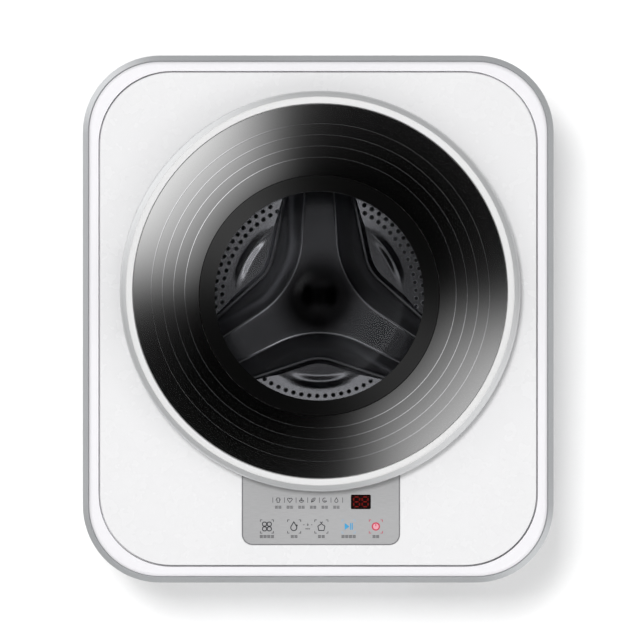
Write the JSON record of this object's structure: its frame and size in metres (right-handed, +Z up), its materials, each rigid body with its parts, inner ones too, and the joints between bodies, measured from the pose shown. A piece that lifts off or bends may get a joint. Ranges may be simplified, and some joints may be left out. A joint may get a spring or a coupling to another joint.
{
  "type": "wall mounted washing machine",
  "caption": "Wall hung front loading washing machine with a round hinged door, turning perforated drum, belt drive, touch fascia, detergent lid and drain filter.",
  "frame": {"origin": "centre of the four wall bolt holes, on the wall face of the rubber pads", "axes": "+X to the right as seen from the front, +Y back into the wall, +Z up; the door faces -Y"},
  "size_m": [0.536, 0.322, 0.6],
  "materials": {
    "white_enamel": "gloss white enamel",
    "white_plastic": "satin gloss",
    "inner_plastic": "moulded",
    "silver_trim": "metallic silver paint",
    "silver_fascia": "fine metallic silver",
    "black_gloss": "high gloss black",
    "dark_plastic": "fine texture",
    "clear_glass": "clear pressed glass",
    "drum_steel": "pressed stainless sheet",
    "zinc_steel": "zinc plated",
    "bearing_steel": "ground",
    "cast_alloy": "as cast",
    "iron_core": "varnished core",
    "weight_stone": "cast concrete",
    "grey_rubber": "satin rubber",
    "black_rubber": "matt rubber",
    "green_board": "solder mask",
    "red_light": "lit segments",
    "blue_tray": "tinted plastic"
  },
  "bodies": {
    "cabinet": {"wall_pads": "black_rubber", "back_frame": "zinc_steel", "outer_shell": "white_enamel", "shell_screws": "zinc_steel", "edge_trim": "silver_trim", "front_bezel": "white_plastic", "front_panel": "white_enamel", "control_fascia": "silver_fascia", "display_lens": "black_gloss", "display_segments": "red_light", "control_board": "green_board", "board_box": "inner_plastic", "door_hinge_bracket": "zinc_steel", "door_hinge_pin": "bearing_steel", "door_lock": "dark_plastic", "door_gasket": "grey_rubber", "gasket_clamps": "zinc_steel", "tub_front": "inner_plastic", "tub_rear": "inner_plastic", "tub_screws": "zinc_steel", "tub_isolators": "black_rubber", "counterweight": "weight_stone", "bearing_outer_races": "bearing_steel", "bearing_balls": "bearing_steel", "shaft_seal": "black_rubber", "drive_belt": "black_rubber", "motor_bracket": "zinc_steel", "motor_housing": "zinc_steel", "motor_stator": "iron_core", "heater": "drum_steel", "pressure_switch": "white_plastic", "inlet_pocket": "inner_plastic", "inlet_valve": "white_plastic", "fill_hose": "grey_rubber", "detergent_box": "white_plastic", "detergent_tray": "blue_tray", "dispenser_hose": "grey_rubber", "pump_housing": "inner_plastic", "pump_motor": "dark_plastic", "sump_hose": "grey_rubber", "drain_hose": "grey_rubber", "drain_pocket": "inner_plastic", "power_box": "inner_plastic"},
    "door": {"door_ring": "silver_trim", "door_disc": "black_gloss", "window_rim": "dark_plastic", "door_glass": "clear_glass", "door_inner_frame": "white_plastic", "door_hinge_arm": "cast_alloy"},
    "latch": {"door_hook": "zinc_steel"},
    "drum": {"drum_shell": "drum_steel", "drum_back": "drum_steel", "drum_lifters": "inner_plastic", "drum_spider_shaft": "cast_alloy", "drum_pulley": "cast_alloy", "bearing_inner_races": "bearing_steel"},
    "motor_shaft": {"motor_rotor": "bearing_steel"},
    "pump_rotor": {"pump_impeller": "dark_plastic"},
    "lid": {"detergent_lid": "white_enamel"},
    "filter": {"drain_filter": "dark_plastic"}
  },
  "joints": [
    {"name": "door_hinge", "type": "hinge", "parent": "cabinet", "child": "door", "pos_m": [-0.2158, -0.304, 0.031], "axis": [0, 0, -1], "range_deg": [0, 105]},
    {"name": "latch_pivot", "type": "hinge", "parent": "door", "child": "latch", "pos_m": [0.196, -0.302, 0.031], "axis": [0, 0, 1], "range_deg": [0, 10], "stiffness_Nm_per_rad": 0.3},
    {"name": "drum_spin", "type": "hinge", "parent": "cabinet", "child": "drum", "pos_m": [0.0012, -0.15, 0.026], "axis": [0, -1, 0], "continuous": true},
    {"name": "motor_spin", "type": "hinge", "parent": "cabinet", "child": "motor_shaft", "pos_m": [-0.175, -0.1, -0.205], "axis": [0, -1, 0], "continuous": true},
    {"name": "pump_spin", "type": "hinge", "parent": "cabinet", "child": "pump_rotor", "pos_m": [0.164, -0.15, -0.253], "axis": [0, -1, 0], "continuous": true},
    {"name": "detergent_lid_hinge", "type": "hinge", "parent": "cabinet", "child": "lid", "pos_m": [0.144, -0.172, 0.295], "axis": [-1, 0, 0], "range_deg": [0, 95]},
    {"name": "filter_turn", "type": "hinge", "parent": "cabinet", "child": "filter", "pos_m": [0.164, -0.19, -0.297], "axis": [0, 0, -1], "range_deg": [0, 90]}
  ],
  "couplings": [
    {"joint": "motor_spin", "follows": "drum_spin", "ratio": 10}
  ]
}
